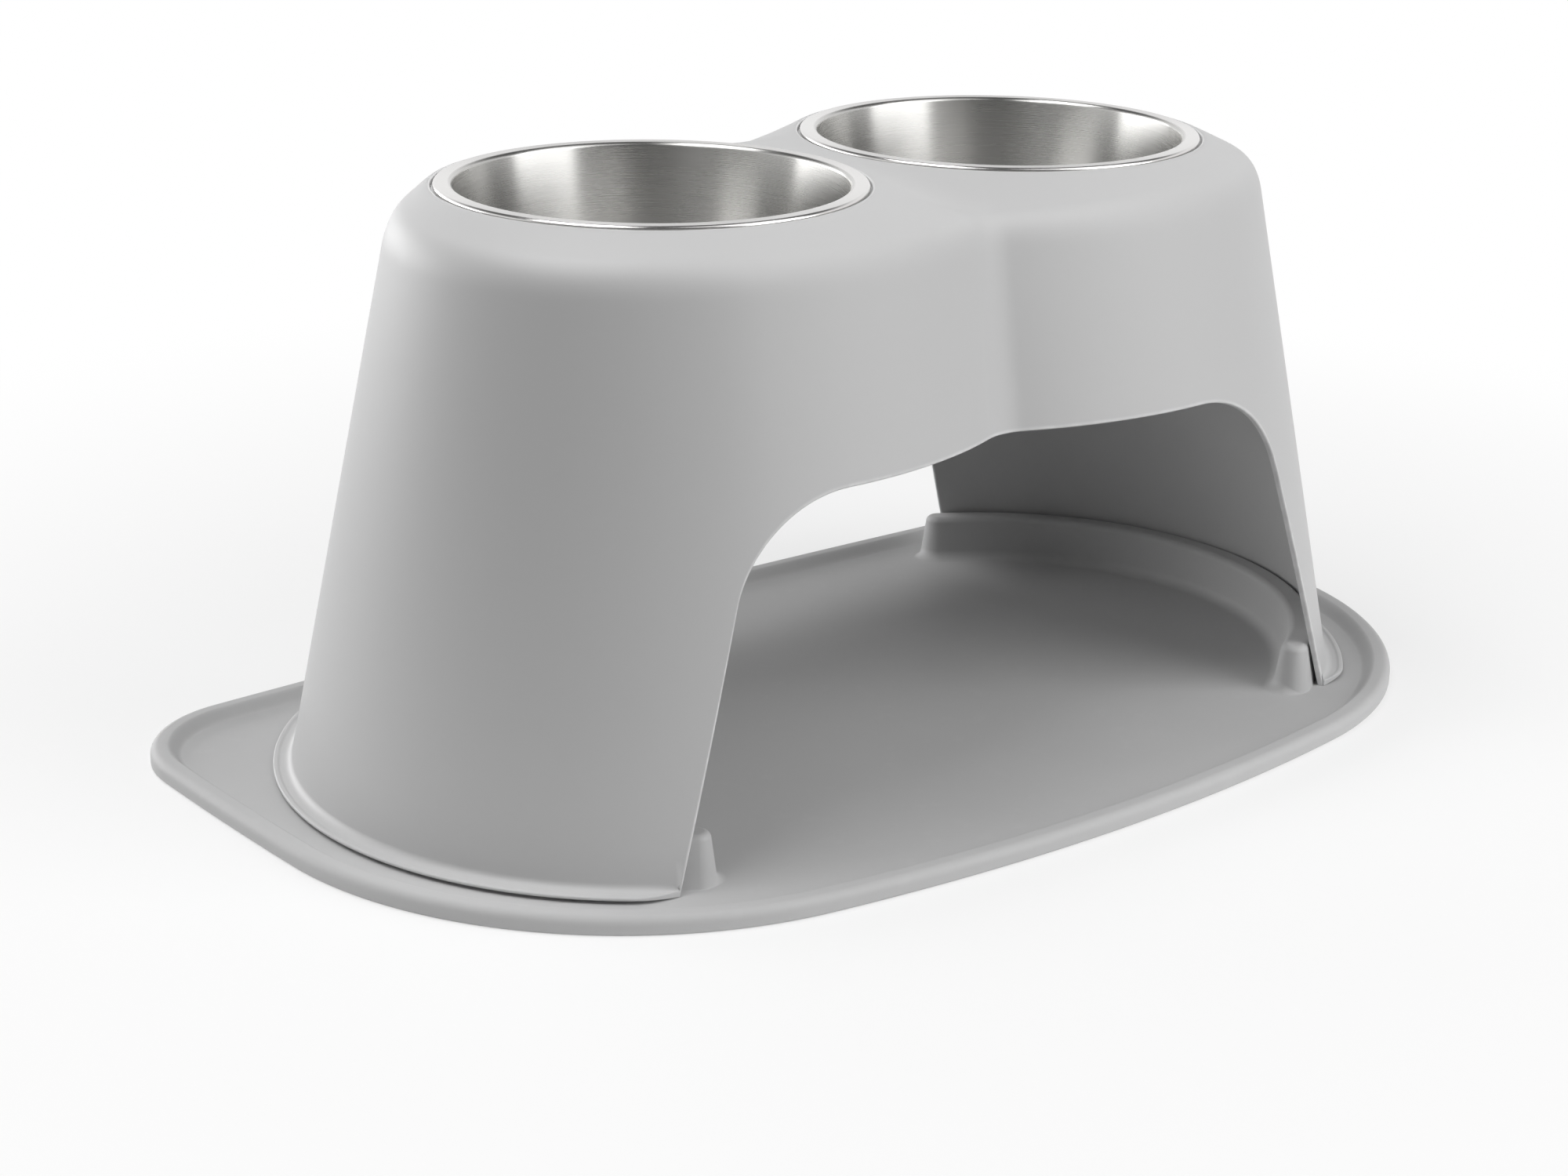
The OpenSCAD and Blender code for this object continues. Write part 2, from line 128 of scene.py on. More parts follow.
# The floor is a plain white sweep that keeps the feeder's soft shadow, and the background is white all
# round it. In what the steel mirrors, the room is darker at the front and overhead. Soft boxes light the
# front and the left side, a low wide one stands behind, and a small one hangs above.
white = (1, 1, 1, 1)
floor_size = 12
bpy.ops.object.select_all(action="DESELECT")
bpy.ops.mesh.primitive_plane_add(size=floor_size, location=(0, 0, -0.0003))
floor = bpy.context.object
floor.name = "floor"
paper = Finish(bpy.data.materials.new("paper"))
spot = paper.put("ShaderNodeTexCoord", {}, {}, "Object")
path = paper.put("ShaderNodeLightPath").socket.node
seen = Wire(paper, path.outputs["Is Camera Ray"]) + Wire(paper, path.outputs["Is Glossy Ray"])
seen = seen + Wire(paper, path.outputs["Is Transmission Ray"])
far = paper.band(paper.put("ShaderNodeVectorMath", {"operation": "LENGTH"}, {0: spot}, "Value"), 0.3, 0.9)
# The paper throws light back beside the mat, and less of it further out, so that the hollow legs stay dark
mat_squeeze, beside_mat, off_mat = (0.6, 1, 0), 0.26, 0.36
squeezed = paper.put("ShaderNodeVectorMath", {"operation": "MULTIPLY"}, {0: spot, 1: mat_squeeze})
squeezed = paper.put("ShaderNodeVectorMath", {"operation": "LENGTH"}, {0: squeezed}, "Value")
tone = paper.blend(paper.band(squeezed, beside_mat, off_mat), (0.9, 0.9, 0.9, 1), (0.28, 0.28, 0.28, 1))
tone = paper.blend(seen, tone, (0.94, 0.94, 0.94, 1))
matt = paper.put("ShaderNodeBsdfDiffuse", {}, {"Color": tone})
glow = paper.put("ShaderNodeEmission", {}, {"Color": white})
sheet = paper.put("ShaderNodeMixShader", {}, {0: seen * (0.6 + far * 0.4), 1: matt, 2: glow})
paper.put("ShaderNodeOutputMaterial", {}, {"Surface": sheet})
floor.data.materials.append(paper.owner)

sky = Finish(bpy.data.worlds.new("studio"))
path = sky.put("ShaderNodeLightPath").socket.node
mirrored = Wire(sky, path.outputs["Is Glossy Ray"]) + Wire(sky, path.outputs["Is Transmission Ray"])
way = sky.put("ShaderNodeTexCoord", {}, {}, "Generated")
way_up = sky.put("ShaderNodeSeparateXYZ", {}, {0: way}, "Z")
front_sockets = {0: way, 1: (-0.5, -0.85, 0)}
way_front = sky.put("ShaderNodeVectorMath", {"operation": "DOT_PRODUCT"}, front_sockets, "Value")
ceiling_low, ceiling_high = 0.36, 0.62
room = sky.blend(sky.band(way_up, ceiling_low, ceiling_high), white, (0.1, 0.1, 0.1, 1))
room = sky.blend(sky.band(way_front, 0.1, 0.5), room, (0.12, 0.12, 0.12, 1))
shade = sky.blend(mirrored, (0.03, 0.03, 0.03, 1), room)
shade = sky.blend(Wire(sky, path.outputs["Is Camera Ray"]), shade, white)
sky.put("ShaderNodeOutputWorld", {}, {"Surface": sky.put("ShaderNodeBackground", {}, {"Color": shade})})
bpy.context.scene.world = sky.owner

# Each box: its turn and rise in degrees, its width and height in metres, and its watts
room_r = 1.9
lamp_aim = Vector((0, 0, 0.15))
soft_boxes = {
    "box_front_low": (300, 13, 1.5, 0.9, 13),
    "box_front_middle": (297, 40, 1.4, 0.8, 10),
    "box_front_high": (290, 62, 1.4, 0.8, 4),
    "box_left": (180, 56, 1.2, 1.0, 14.5),
    "box_behind": (112, 9, 1.8, 0.6, 16),
    "box_above": (120, 70, 0.7, 0.7, 8.5),
}
for name, (turn, rise, wide, high, power) in soft_boxes.items():
    turn, rise = math.radians(turn), math.radians(rise)
    way = Vector((math.cos(turn) * math.cos(rise), math.sin(turn) * math.cos(rise), math.sin(rise)))
    lamp = bpy.data.objects.new(name, bpy.data.lights.new(name, "AREA"))
    lamp.data.shape = "RECTANGLE"
    lamp.data.size, lamp.data.size_y = wide, high
    lamp.data.energy = power
    lamp.location = lamp_aim + room_r * way
    lamp.rotation_euler = (-way).to_track_quat("-Z", "Y").to_euler()
    bpy.context.scene.collection.objects.link(lamp)
bpy.context.scene.view_settings.view_transform = "Standard"


# The mat is one soft rubbery moulding: a flat floor, a rounded rim all round it, and a hollow curved
# ridge under each leg that keeps the stand in place. Every inner corner of the mould is rounded.
mat_floor, rim_top, rim_round = 0.0032, 0.0086, 0.0042
tower_x, tower_top_r = 0.1217, 0.1167
wall_slope = math.tan(math.radians(11.4))
wall_thickness = 0.003
shoulder_z = 0.2680


def tower_r(z):
    return tower_top_r + (shoulder_z - z) * wall_slope


def mix(a, b, share):
    return a + (b - a) * share


def ease(share):
    share = min(1, max(0, share))
    return share * share * (3 - 2 * share)


def arc(centre, radius, start, stop, steps):
    """Points along an arc, from one angle in degrees to another."""
    angles = [math.radians(mix(start, stop, i / steps)) for i in range(steps + 1)]
    return [Vector((centre[0] + radius * math.cos(a), centre[1] + radius * math.sin(a))) for a in angles]


def first_ring(name, points):
    """Adds a circle, leaves it in edit mode with all of it selected, and moves it onto the points."""
    bpy.ops.object.select_all(action="DESELECT")
    bpy.ops.mesh.primitive_circle_add(vertices=len(points), radius=0.1)
    piece = bpy.context.object
    piece.name = piece.data.name = name
    bpy.ops.object.mode_set(mode="EDIT")
    mesh = bmesh.from_edit_mesh(piece.data)
    column = mesh.verts.layers.int.new("column")
    for i, vertex in enumerate(mesh.verts):
        vertex[column] = i
        vertex.co = points[i]
    bmesh.update_edit_mesh(piece.data)
    return piece


def draw_out(piece, *rings):
    """Extrudes the selected edges once for each ring of points, and moves the new ones onto them."""
    for points in rings:
        bpy.ops.mesh.extrude_region_move()
        mesh = bmesh.from_edit_mesh(piece.data)
        column = mesh.verts.layers.int["column"]
        for vertex in mesh.verts:
            if vertex.select:
                vertex.co = points[vertex[column]]
        bmesh.update_edit_mesh(piece.data)


def pick(piece, wanted):
    """Selects the vertices for which wanted is true, with the edges and faces between them."""
    mesh = bmesh.from_edit_mesh(piece.data)
    for vertex in mesh.verts:
        vertex.select_set(wanted(vertex))
    mesh.select_flush_mode()
    bmesh.update_edit_mesh(piece.data)


def at_height(z):
    return lambda vertex: abs(vertex.co.z - z) < 1e-6 and vertex.is_boundary


flange_w = 0.008
flange_r = tower_r(mat_floor) + flange_w
end_r, end_y = 0.1893, 0.0063
end_x = tower_x + flange_r + 0.0244 - end_r
front_r, side_r, corner_r, back_r = 1.044, 2.3, 0.062, 5.9
front_y = -end_y + math.sqrt((front_r - end_r) ** 2 - end_x**2)
front_turn = math.degrees(math.atan2(-end_y - front_y, end_x))
side_turn = 0.6
side = Vector((end_x, -end_y)) - (side_r - end_r) * Vector(
    (math.cos(math.radians(side_turn)), -math.sin(math.radians(side_turn)))
)
back = Vector((0, 0.1763 - back_r))
way = back - side
along = (way.length_squared + (side_r - corner_r) ** 2 - (back_r - corner_r) ** 2) / (2 * way.length)
aside = math.sqrt((side_r - corner_r) ** 2 - along**2)
corner = side + (along * way + aside * Vector((-way.y, way.x))) / way.length
corner_turn = math.degrees(math.atan2(corner.y - side.y, corner.x - side.x))
back_turn = math.degrees(math.atan2(corner.y - back.y, corner.x))


def mat_ring(inset, z):
    """The mat's outline, moved inwards and lifted to a height."""
    half = arc((0, front_y), front_r - inset, -90, front_turn, 24)
    half += arc((end_x, -end_y), end_r - inset, front_turn, -side_turn, 44)[1:]
    half += arc(side, side_r - inset, -side_turn, corner_turn, 10)[1:]
    half += arc(corner, corner_r - inset, corner_turn, back_turn, 22)[1:]
    half += arc(back, back_r - inset, back_turn, 90, 20)[1:]
    whole = half + [Vector((-p.x, p.y)) for p in half[-2:0:-1]]
    return [(p.x, p.y, z) for p in whole]


rim = [(0, 0.0008), (0, 0.0026)]
rim += [(p.x, p.y) for p in arc((rim_round, rim_top - rim_round), rim_round, 180, 90, 8)]
rim += [(0.006, rim_top)]
for i in range(13):
    rim.append((0.008 + 0.007 * i / 12, rim_top - (rim_top - mat_floor) * ease(i / 12)))
mat = first_ring("mat_moulding", mat_ring(0.0007, 0))
draw_out(mat, *[mat_ring(inset, z) for inset, z in rim])
bpy.ops.object.mode_set(mode="OBJECT")

ridge_top, ridge_half, ridge_end = 0.0275, 0.00625, 61.5
ridge_lean = math.radians(8)
ridge_middle = tower_r(ridge_top) - wall_thickness / math.cos(math.radians(11.4)) - 0.0007 - ridge_half


def ridge_outline():
    """Spots round a ridge: its middle line's point, the way out from it, and how far it faces inwards."""
    spots = []
    for i in range(41):
        angle = math.radians(mix(-ridge_end, ridge_end, i / 40))
        out = Vector((math.cos(angle), math.sin(angle)))
        spots.append((ridge_middle * out, out, 0))
    for i in range(1, 18):
        angle = math.radians(ridge_end + 180 * i / 18)
        out = Vector((math.cos(angle), math.sin(angle)))
        spots.append((spots[40][0], out, ease((i / 18 - 0.2) / 0.45)))
    for i in range(41):
        spot, out, _ = spots[40 - i]
        spots.append((spot, -out, 1))
    spots += [(Vector((p.x, -p.y)), Vector((out.x, -out.y)), share) for p, out, share in spots[57:40:-1]]
    return spots


def ridge_rings(side, shrink, low):
    """Rings from the foot of a ridge to its top, or of the hollow under it where shrink isn't zero."""
    top, slant = ridge_top - shrink, math.tan(ridge_lean)
    half = ridge_half - shrink / math.cos(ridge_lean)
    edge_r = 0.0036 if shrink == 0 else 0.0008
    flat = half - edge_r * (1 / math.cos(ridge_lean) - slant)
    stacks = []
    for spot, out, share in ridge_outline():
        stack = [(half + (top - low) * slant, low)]
        if shrink == 0:
            hollow = mix(0.0006, 0.0062, share)
            reach = half + (top - low) * slant - hollow * slant + hollow / math.cos(ridge_lean)
            stack = arc((reach, low + hollow), hollow, 270, 180 + math.degrees(ridge_lean), 8)
        stack += arc((flat, top - edge_r), edge_r, math.degrees(ridge_lean), 90, 7)
        stacks.append([(side * (tower_x + spot.x + w * out.x), spot.y + w * out.y, z) for w, z in stack])
    return [list(ring) for ring in zip(*stacks)]


parts = [mat]
for side_sign in (-1, 1):
    for shrink, low in ((0, mat_floor), (wall_thickness, 0)):
        rings = ridge_rings(side_sign, shrink, low)
        ridge = first_ring("ridge", rings[0])
        draw_out(ridge, *rings[1:])
        bpy.ops.mesh.edge_face_add()
        bpy.ops.object.mode_set(mode="OBJECT")
        parts.append(ridge)
bpy.ops.object.select_all(action="DESELECT")
for part in parts:
    part.select_set(True)
bpy.context.view_layer.objects.active = mat
bpy.ops.object.join()
bpy.ops.object.mode_set(mode="EDIT")
for z in (mat_floor, 0):
    pick(mat, at_height(z))
    bpy.ops.mesh.fill(use_beauty=True)
bpy.ops.mesh.select_all(action="SELECT")
bpy.ops.mesh.normals_make_consistent(inside=False)
bpy.ops.object.mode_set(mode="OBJECT")


def settle(piece, angle):
    """Shades the piece smooth up to an angle in degrees, with its flat faces kept flat."""
    bpy.ops.object.select_all(action="DESELECT")
    piece.select_set(True)
    bpy.context.view_layer.objects.active = piece
    bpy.ops.object.shade_smooth_by_angle(angle=math.radians(angle))
    bpy.ops.object.modifier_add(type="WEIGHTED_NORMAL")
    piece.modifiers[-1].keep_sharp = True
    bpy.ops.object.modifier_apply(modifier=piece.modifiers[-1].name)


settle(mat, 40)

rubber = Finish(bpy.data.materials.new("mat_rubber"))
spot = rubber.put("ShaderNodeTexCoord", {}, {}, "Object")
cloud, scuff, grain = rubber.noise(spot, 14, 3), rubber.noise(spot, 90, 4), rubber.noise(spot, 1500, 2)
tone = rubber.blend(cloud, (0.535, 0.535, 0.538, 1), (0.565, 0.565, 0.566, 1))
tone = rubber.blend(rubber.band(scuff, 0.55, 0.75) * 0.25, tone, (0.6, 0.6, 0.6, 1))
rubber.surface(
    {"Base Color": tone, "Roughness": 0.5 + cloud * 0.08 + scuff * 0.08, "Specular IOR Level": 0.4},
    cloud * 0.25 + scuff * 0.012 + grain * 0.012,
)
mat.data.materials.append(rubber.owner)
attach(mat, "mat")
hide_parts("mat")


# The stand is one rigid moulded shell, open underneath: two leaning towers with a waist between them,
# a rounded shoulder, a recess for each bowl, an arch front and back, and a flange round each foot.
foot_z, top_z, crown_z = 0.0032, 0.2802, 0.1695
waist_top, waist_foot, waist_r = 0.1002, 0.140, 0.030
tower_start = 78
bowl_centre = Vector((0.1102, 0.0082))
mouth_r, recess_r, land_r, recess_depth = 0.0954, 0.1021, 0.1033, 0.002
round_h, round_w, round_share = 0.013, 0.008, 0.4
valley_w, land_round = 0.014, 0.0015
arch_lean = math.radians(17.2)
arch_foot, arch_r = 0.211, 0.064
arch_corner_x = arch_foot - (crown_z - foot_z - arch_r) * math.tan(arch_lean) - arch_r / math.cos(arch_lean)
arch_corner = Vector((arch_corner_x, crown_z - arch_r))


def stand_outline(z, place, inset=0.0):
    """A point of the front right quarter at a height, with place from 0 at the waist to 3 at the end."""
    r = tower_r(z)
    start = math.radians(tower_start)
    touch = Vector((tower_x + r * math.cos(start), -r * math.sin(start)))
    inward = Vector((-math.cos(start), math.sin(start)))
    reach = Vector((0, -mix(waist_top, waist_foot, (shoulder_z - z) / (shoulder_z - foot_z)))) - touch
    flat_r = reach.length_squared / (2 * reach.dot(inward))
    flat = touch + flat_r * inward
    hollow_y = flat.y - math.sqrt((flat_r + waist_r) ** 2 - flat.x**2)
    turn = math.degrees(math.atan2(hollow_y - flat.y, -flat.x))
    if place < 1:
        return arc((0, hollow_y), waist_r + inset, 90, mix(90, turn + 180, place), 1)[1]
    if place < 2:
        return arc(flat, flat_r - inset, turn, mix(turn, -tower_start, place - 1), 1)[1]
    return arc((tower_x, 0), r - inset, 0, mix(-tower_start, 0, place - 2), 1)[1]


def place_at(x, z):
    """The place on the outline at which it has a given x."""
    low, high = 0.0, 3.0
    for _ in range(40):
        middle = (low + high) / 2
        low, high = (middle, high) if stand_outline(z, middle).x < x else (low, middle)
    return low


# Each column of the wall: its place on the outline, and the height at which it ends on the arch or the foot
columns = [(i / 6, crown_z) for i in range(7)]
crown_x = stand_outline(crown_z, 1).x
columns += [(place_at(mix(crown_x, arch_corner.x, i / 16), crown_z), crown_z) for i in range(1, 17)]
for x, z in arc(arch_corner, arch_r, 90, 17.2, 24)[1:]:
    columns.append((place_at(x, z), z))
side_x, side_z = arc(arch_corner, arch_r, 0, 17.2, 1)[1]
for i in range(1, 15):
    z = mix(side_z, foot_z, i / 14)
    columns.append((place_at(mix(side_x, arch_foot, i / 14), z), z))
# The rest of the foot, closer together where the flange runs out into the arch's edge
foot_r = tower_r(foot_z)
arch_turn = math.degrees(math.acos((arch_foot - tower_x) / foot_r))
run_out_length = 0.022
run_out = math.degrees(run_out_length / foot_r)
foot_turns = [arch_turn - run_out * i / 12 for i in range(1, 13)]
foot_turns += [mix(arch_turn - run_out, 0, i / 32) for i in range(1, 33)]
columns += [(3 - turn / tower_start, foot_z) for turn in foot_turns]
front = [(place, low, 1) for place, low in columns]
half = front + [(place, low, -1) for place, low in columns[-2::-1]]


def wall_point(column, z, inset=0.0):
    place, _, face = column
    p = stand_outline(z, place, inset)
    return Vector((p.x, p.y * face))


def drop(p, slope):
    """How far the top falls at a point. It is flat at the land and rounded off at the valley's line."""
    x = abs(p.x)
    x = x * x / (2 * valley_w) + valley_w / 2 if x < valley_w else x
    reach = max(0, (Vector((x, p.y)) - bowl_centre).length - land_r)
    return slope * (math.hypot(reach, land_round) - land_round)


shoulder = [wall_point(column, shoulder_z) for column in half]
slopes = []
edge = []
for column, p in zip(half, shoulder):
    reach = (p - bowl_centre).length - land_r
    slopes.append((top_z - shoulder_z) / (math.hypot(reach, land_round) - land_round))
    inner = wall_point(column, shoulder_z, round_w)
    p = p.lerp(inner, min(1, round_share * reach / round_w))
    edge.append(Vector((p.x, p.y, top_z - drop(p, slopes[-1]))))
border, border_slopes = list(edge), list(slopes)
for i in range(1, 26):
    p = Vector((0, mix(edge[-1].y, edge[0].y, i / 26)))
    border.append(Vector((p.x, p.y, top_z - drop(p, slopes[0]))))
    border_slopes.append(slopes[0])


def round_the_bowl(radius, z):
    ways = [(p.xy - bowl_centre).normalized() for p in border]
    return [(bowl_centre.x + radius * way.x, bowl_centre.y + radius * way.y, z) for way in ways]


def top_ring(share):
    """A ring of the top, on the way from the land at 0 out to the shoulder and the valley at 1."""
    ring = []
    for p, slope, near in zip(border, border_slopes, round_the_bowl(land_r, top_z)):
        q = Vector(near).lerp(p, share)
        ring.append((q.x, q.y, top_z - drop(q, slope)))
    return ring


def shoulder_ring(share):
    """A ring of the shoulder's rounding, on the way from the top at 0 down to the wall at 1."""
    ring = []
    for column, sharp, high in zip(half, shoulder, edge):
        low = wall_point(column, shoulder_z - round_h)
        low, sharp = Vector((low.x, low.y, shoulder_z - round_h)), Vector((sharp.x, sharp.y, shoulder_z))
        ring.append(high.lerp(sharp, share).lerp(sharp.lerp(low, share), share))
    return ring


def wall_ring(foot_height):
    """A ring of the wall, level along the foot and pulled up to the arch."""
    wall_z = shoulder_z - round_h
    share = (wall_z - foot_height) / (wall_z - foot_z)
    ring = []
    for column in half:
        z = mix(wall_z, column[1], share)
        p = wall_point(column, z)
        ring.append((p.x, p.y, z))
    return ring


seat_z = top_z - recess_depth
flange_top, dish_depth, fillet_r = foot_z + 0.0032, 0.0006, 0.0042
fillet_top = flange_top - dish_depth + fillet_r * (1 - math.sin(math.radians(11.4)))
stand = first_ring("stand_moulding", round_the_bowl(mouth_r, seat_z))
draw_out(stand, round_the_bowl(recess_r, seat_z), round_the_bowl(recess_r, top_z))
top_shares = (0, 0.04, 0.09, 0.15, 0.22, 0.3, 0.4, 0.5, 0.6, 0.7, 0.8, 0.9, 1)
draw_out(stand, *[top_ring(share) for share in top_shares])
stand_columns = bmesh.from_edit_mesh(stand.data).verts.layers.int["column"]
pick(stand, lambda vertex: vertex.select and vertex[stand_columns] < len(half))
draw_out(stand, *[shoulder_ring(i / 12) for i in range(1, 13)])
wall_heights = [0.25, 0.242, 0.23, 0.215, 0.2, 0.182, 0.164, 0.146, 0.128, 0.11, 0.092, 0.075, 0.058, 0.043]
wall_heights += [0.03, 0.019, fillet_top, foot_z]
draw_out(stand, *[wall_ring(z) for z in wall_heights])
bpy.ops.object.mode_set(mode="OBJECT")
bpy.ops.object.modifier_add(type="MIRROR")
stand.modifiers[-1].merge_threshold = 1e-5
bpy.ops.object.modifier_apply(modifier=stand.modifiers[-1].name)
bpy.ops.object.mode_set(mode="EDIT")
bpy.ops.mesh.select_all(action="SELECT")
bpy.ops.mesh.normals_make_consistent(inside=False)
bpy.ops.object.mode_set(mode="OBJECT")
bpy.ops.object.modifier_add(type="SOLIDIFY")
stand.modifiers[-1].thickness = wall_thickness
stand.modifiers[-1].offset = -1
stand.modifiers[-1].use_even_offset = True
stand.modifiers[-1].use_quality_normals = True
bpy.ops.object.modifier_apply(modifier=stand.modifiers[-1].name)

# The wall's inside ends level with the foot, and has one step under each recess
bpy.ops.object.mode_set(mode="EDIT")
mesh = bmesh.from_edit_mesh(stand.data)
for vertex in mesh.verts:
    if vertex.co.z < foot_z:
        vertex.co.z = foot_z
    middle = Vector((math.copysign(bowl_centre.x, vertex.co.x), bowl_centre.y))
    reach = vertex.co.xy - middle
    step_r = recess_r + wall_thickness
    under_seat = seat_z - wall_thickness + 0.0005 < vertex.co.z < seat_z - 0.0005
    if under_seat and mouth_r + 0.001 < reach.length < step_r + 0.0004:
        vertex.co.xy = middle + reach.normalized() * step_r
        vertex.co.z = top_z - wall_thickness
bmesh.update_edit_mesh(stand.data)
bpy.ops.mesh.select_all(action="SELECT")
bpy.ops.mesh.remove_doubles(threshold=1e-5)


def foot_spot(vertex):
    """A point's distance from its tower's middle line, and its angle off the feeder's length."""
    x = abs(vertex.co.x) - tower_x
    return math.hypot(x, vertex.co.y), abs(math.degrees(math.atan2(vertex.co.y, x)))


tip_width, undercut = 0.0005, 0.0019


def flange_width(turn):
    """The flange is narrow at the arch's edge and widens in a soft curve."""
    share = min(1, max(0, arch_turn - turn) / run_out)
    return mix(tip_width, flange_r - foot_r, math.sin(math.radians(90 * share)))


mesh = bmesh.from_edit_mesh(stand.data)
bpy.ops.mesh.select_all(action="DESELECT")
bpy.ops.mesh.select_mode(type="FACE")
for face in mesh.faces:
    spots = [foot_spot(vertex) for vertex in face.verts]
    heights = [vertex.co.z for vertex in face.verts]
    low_wall = max(heights) < fillet_top + 1e-5 and max(heights) - min(heights) > 0.004
    outside = all(r > tower_r(z) - 1e-4 for (r, _), z in zip(spots, heights))
    if low_wall and outside and all(turn < arch_turn + 0.01 for _, turn in spots):
        face.select_set(True)
bmesh.update_edit_mesh(stand.data)
wall_r = tower_r(fillet_top)
fillet_x = wall_r + fillet_r * math.cos(math.radians(11.4))
# The fillet, the dished top, the thin lip and the rounded outer edge
profile = arc((fillet_x, flange_top - dish_depth + fillet_r), fillet_r, 180 + 11.4, 270, 7)[1:]
lip = [(0.0036, dish_depth), (0.003, dish_depth), (0.0026, 0.00035), (0.0021, 0.0001), (0.0017, 0)]
profile += [Vector((flange_r - reach, flange_top - depth)) for reach, depth in lip]
lip_edge_r = 0.0008
profile += arc((flange_r - lip_edge_r, flange_top - lip_edge_r), lip_edge_r, 90, 0, 5)
for r, z in profile:
    bpy.ops.mesh.extrude_region_move()
    mesh = bmesh.from_edit_mesh(stand.data)
    for vertex in mesh.verts:
        if vertex.select:
            reach, turn = foot_spot(vertex)
            width = flange_width(turn)
            share = (r - wall_r) / (flange_r - wall_r)
            is_foot = vertex.co.z < foot_z + 0.002
            start_r = foot_r if is_foot else wall_r
            stretch = mix(start_r, foot_r + width, share) / reach
            vertex.co.x = math.copysign(tower_x + (abs(vertex.co.x) - tower_x) * stretch, vertex.co.x)
            vertex.co.y *= stretch
            vertex.co.z = foot_z + undercut * ease((share - 0.3) / 0.2) * width / flange_w if is_foot else z
    bmesh.update_edit_mesh(stand.data)

# The mould's parting edges are just broken: round the arches and round the recesses
bpy.ops.mesh.select_all(action="DESELECT")
bpy.ops.mesh.select_mode(type="EDGE")
mesh = bmesh.from_edit_mesh(stand.data)
for bevelled in mesh.edges:
    ends = [vertex.co for vertex in bevelled.verts]
    low_edge = max(p.z for p in ends) < foot_z + 1e-5
    of_arch = all(abs(p.x) < arch_foot + 1e-4 for p in ends) and max(p.z for p in ends) < crown_z + 0.001
    if of_arch and not low_edge and bevelled.is_manifold and bevelled.calc_face_angle() > 1:
        bevelled.select_set(True)
bmesh.update_edit_mesh(stand.data)
bpy.ops.mesh.bevel(offset=0.0008, segments=3, profile=0.5, affect="EDGES")
mesh = bmesh.from_edit_mesh(stand.data)
# Every bevelled arch edge is marked to be painted lighter: partly rubbed wear, partly a painted highlight
# along the rounded edge
edge_wear_and_highlight_layer = mesh.verts.layers.float.new("edge_wear_and_highlight")
for vertex in mesh.verts:
    vertex[edge_wear_and_highlight_layer] = float(vertex.select)
    # The bevel's ends stay level with the foot
    vertex.co.z = max(vertex.co.z, foot_z)
bmesh.update_edit_mesh(stand.data)
bpy.ops.mesh.select_all(action="DESELECT")
mesh = bmesh.from_edit_mesh(stand.data)
for bevelled in mesh.edges:
    if min(vertex.co.z for vertex in bevelled.verts) > seat_z - 1e-5 and bevelled.calc_face_angle(0) > 0.9:
        bevelled.select_set(True)
bmesh.update_edit_mesh(stand.data)
bpy.ops.mesh.bevel(offset=0.0005, segments=3, profile=0.5, affect="EDGES")
# The recesses' bevelled edges get the same mark: wear and a painted highlight
mesh = bmesh.from_edit_mesh(stand.data)
edge_wear_and_highlight_layer = mesh.verts.layers.float["edge_wear_and_highlight"]
for vertex in mesh.verts:
    if vertex.select:
        vertex[edge_wear_and_highlight_layer] = 1
bmesh.update_edit_mesh(stand.data)
bpy.ops.mesh.select_mode(type="VERT")
bpy.ops.object.mode_set(mode="OBJECT")
settle(stand, 38)

plastic = Finish(bpy.data.materials.new("stand_plastic"))
spot = plastic.put("ShaderNodeTexCoord", {}, {}, "Object")
cloud, scuff, grain = plastic.noise(spot, 7, 3), plastic.noise(spot, 120, 4), plastic.noise(spot, 1800, 2)
edge_wear_and_highlight = plastic.put("ShaderNodeAttribute", {"attribute_name": "edge_wear_and_highlight"}, {}, "Fac")
# The marked edges are painted a lighter grey: partly wear, partly a painted highlight standing in for the
# light the rounded edges catch
rubbed_and_highlight = edge_wear_and_highlight * (plastic.band(scuff, 0.4, 0.65) * 0.4 + 0.6)
tone = plastic.blend(cloud, (0.588, 0.588, 0.59, 1), (0.612, 0.612, 0.613, 1))
tone = plastic.blend(rubbed_and_highlight, tone, (0.8, 0.8, 0.8, 1))
plastic.surface(
    {"Base Color": tone, "Roughness": 0.4 + cloud * 0.08 + scuff * 0.06 - rubbed_and_highlight * 0.12},
    cloud * 0.3 + scuff * 0.008 + grain * 0.008,
)
stand.data.materials.append(plastic.owner)
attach(stand, "stand")
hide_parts("stand")


# Each bowl is drawn from one sheet of stainless steel: a deep round bowl with a flat rim, whose edge
# is rolled under. It hangs by the rim in the stand's recess and lifts straight out.
rim_r, rim_top_z, steel = 0.101, 0.2815, 0.0009
bowl_depth, bowl_turn, bowl_lean = 0.069, 0.024, 8
lip_r, lip_x = 0.00225, 0.092 + 0.00225
bowl_floor = rim_top_z - bowl_depth
lean = math.radians(bowl_lean)
turn_x = lip_x - lip_r / math.cos(lean) - (rim_top_z - lip_r - bowl_floor - bowl_turn) * math.tan(lean)
turn_x -= bowl_turn / math.cos(lean)
inside = [Vector((r, bowl_floor)) for r in (0.012, 0.026, 0.042)]
inside += arc((turn_x, bowl_floor + bowl_turn), bowl_turn, 270, 360 - bowl_lean, 20)
wall_start, wall_end = inside[-1], arc((lip_x, rim_top_z - lip_r), lip_r, 90, 180 - bowl_lean, 1)[1]
inside += [wall_start.lerp(wall_end, i / 6) for i in range(1, 6)]
inside += arc((lip_x, rim_top_z - lip_r), lip_r, 180 - bowl_lean, 90, 8)
band = [Vector((0.0965, rim_top_z)), Vector((0.0985, rim_top_z))]
